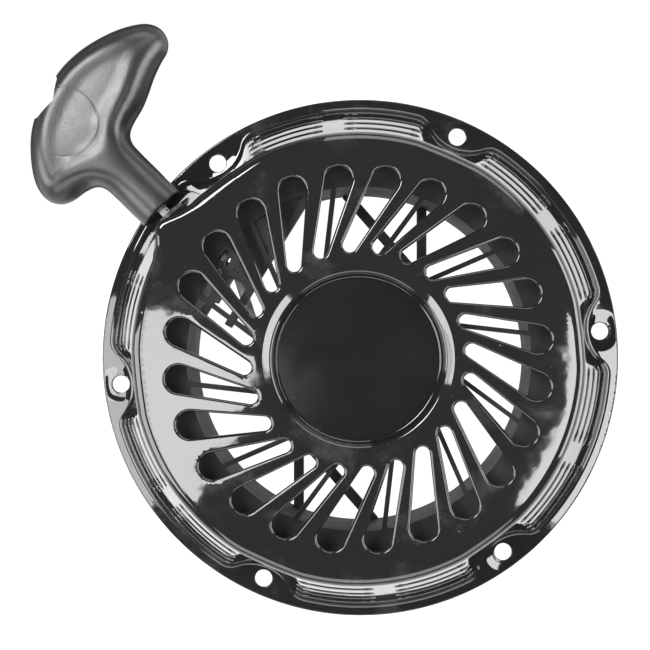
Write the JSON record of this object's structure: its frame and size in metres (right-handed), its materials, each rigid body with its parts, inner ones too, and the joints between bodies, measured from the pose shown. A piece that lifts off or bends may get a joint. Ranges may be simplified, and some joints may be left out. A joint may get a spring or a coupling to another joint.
{
  "type": "recoil starter",
  "caption": "Round pull-rope starter: slotted stamped steel cover with bolt flange, air guide, sprung rope reel with pawls, and a T grip on the rope.",
  "frame": {"origin": "centre of the flange's back face, on the cover's axis", "axes": "+Z out of the cover's top, away from the engine; the rope leaves at 135 degrees from +X towards +Y"},
  "size_m": [0.2643, 0.2674, 0.058],
  "materials": {
    "cover_paint": "gloss black paint on stamped steel",
    "disc_paint": "satin black plate",
    "guide_plastic": "matt black moulded plastic",
    "bush_plastic": "hard black plastic",
    "eyelet_steel": "polished steel",
    "rope_fibre": "braided white rope with grey flecks",
    "grip_plastic": "satin charcoal plastic with fine grain",
    "reel_plastic": "black glass-filled nylon",
    "friction_plastic": "natural nylon",
    "bush_bronze": "sintered bronze",
    "spring_steel": "blued spring steel",
    "zinc_steel": "zinc plated steel",
    "pawl_steel": "hardened steel"
  },
  "bodies": {
    "cover": {"cover": "cover_paint", "centre_disc": "disc_paint", "spindle_bracket": "zinc_steel", "spindle_post": "zinc_steel", "air_guide": "guide_plastic", "rope_guide": "bush_plastic", "rope_eyelet": "eyelet_steel", "rope_inner": "rope_fibre", "friction_spring": "spring_steel", "thrust_washer": "zinc_steel", "centre_screw": "zinc_steel"},
    "reel": {"reel": "reel_plastic", "reel_bush": "bush_bronze", "spring_cover": "zinc_steel", "recoil_spring": "spring_steel", "pawl_pins": "zinc_steel", "pawl_spring_1": "spring_steel", "pawl_spring_2": "spring_steel", "rope_wound": "rope_fibre", "rope_knot_reel": "rope_fibre"},
    "ratchet_guide": {"ratchet_guide": "friction_plastic"},
    "pawl_1": {"pawl_1": "pawl_steel"},
    "pawl_2": {"pawl_2": "pawl_steel"},
    "handle": {"handle_grip": "grip_plastic", "handle_cap": "grip_plastic", "rope_washer": "zinc_steel", "rope_knot_handle": "rope_fibre", "rope_outer": "rope_fibre"}
  },
  "joints": [
    {"name": "reel_spin", "type": "hinge", "parent": "cover", "child": "reel", "pos_m": [0, 0, 0.03], "axis": [0, 0, -1], "range_deg": [0, 1440], "stiffness_Nm_per_rad": 0.04, "springref_deg": -687.55, "deforming": ["rope_wound", "recoil_spring"]},
    {"name": "handle_pull", "type": "slide", "parent": "cover", "child": "handle", "axis": [-0.7071, 0.7071, 0], "range_m": [0, 0.7605], "deforming": ["rope_outer"]},
    {"name": "ratchet_guide_turn", "type": "hinge", "parent": "reel", "child": "ratchet_guide", "pos_m": [0, 0, 0.0122], "axis": [0, 0, 1], "range_deg": [0, 17]},
    {"name": "pawl_1_swing", "type": "hinge", "parent": "reel", "child": "pawl_1", "pos_m": [0.021, 0, 0.018], "axis": [0, 0, 1], "range_deg": [0, 25]},
    {"name": "pawl_2_swing", "type": "hinge", "parent": "reel", "child": "pawl_2", "pos_m": [-0.021, 0, 0.018], "axis": [0, 0, 1], "range_deg": [0, 25]}
  ],
  "couplings": [
    {"joint": "handle_pull", "follows": "reel_spin", "m_per_rad": 0.03025},
    {"joint": "pawl_1_swing", "follows": "ratchet_guide_turn", "ratio": 1.47},
    {"joint": "pawl_2_swing", "follows": "ratchet_guide_turn", "ratio": 1.47}
  ]
}
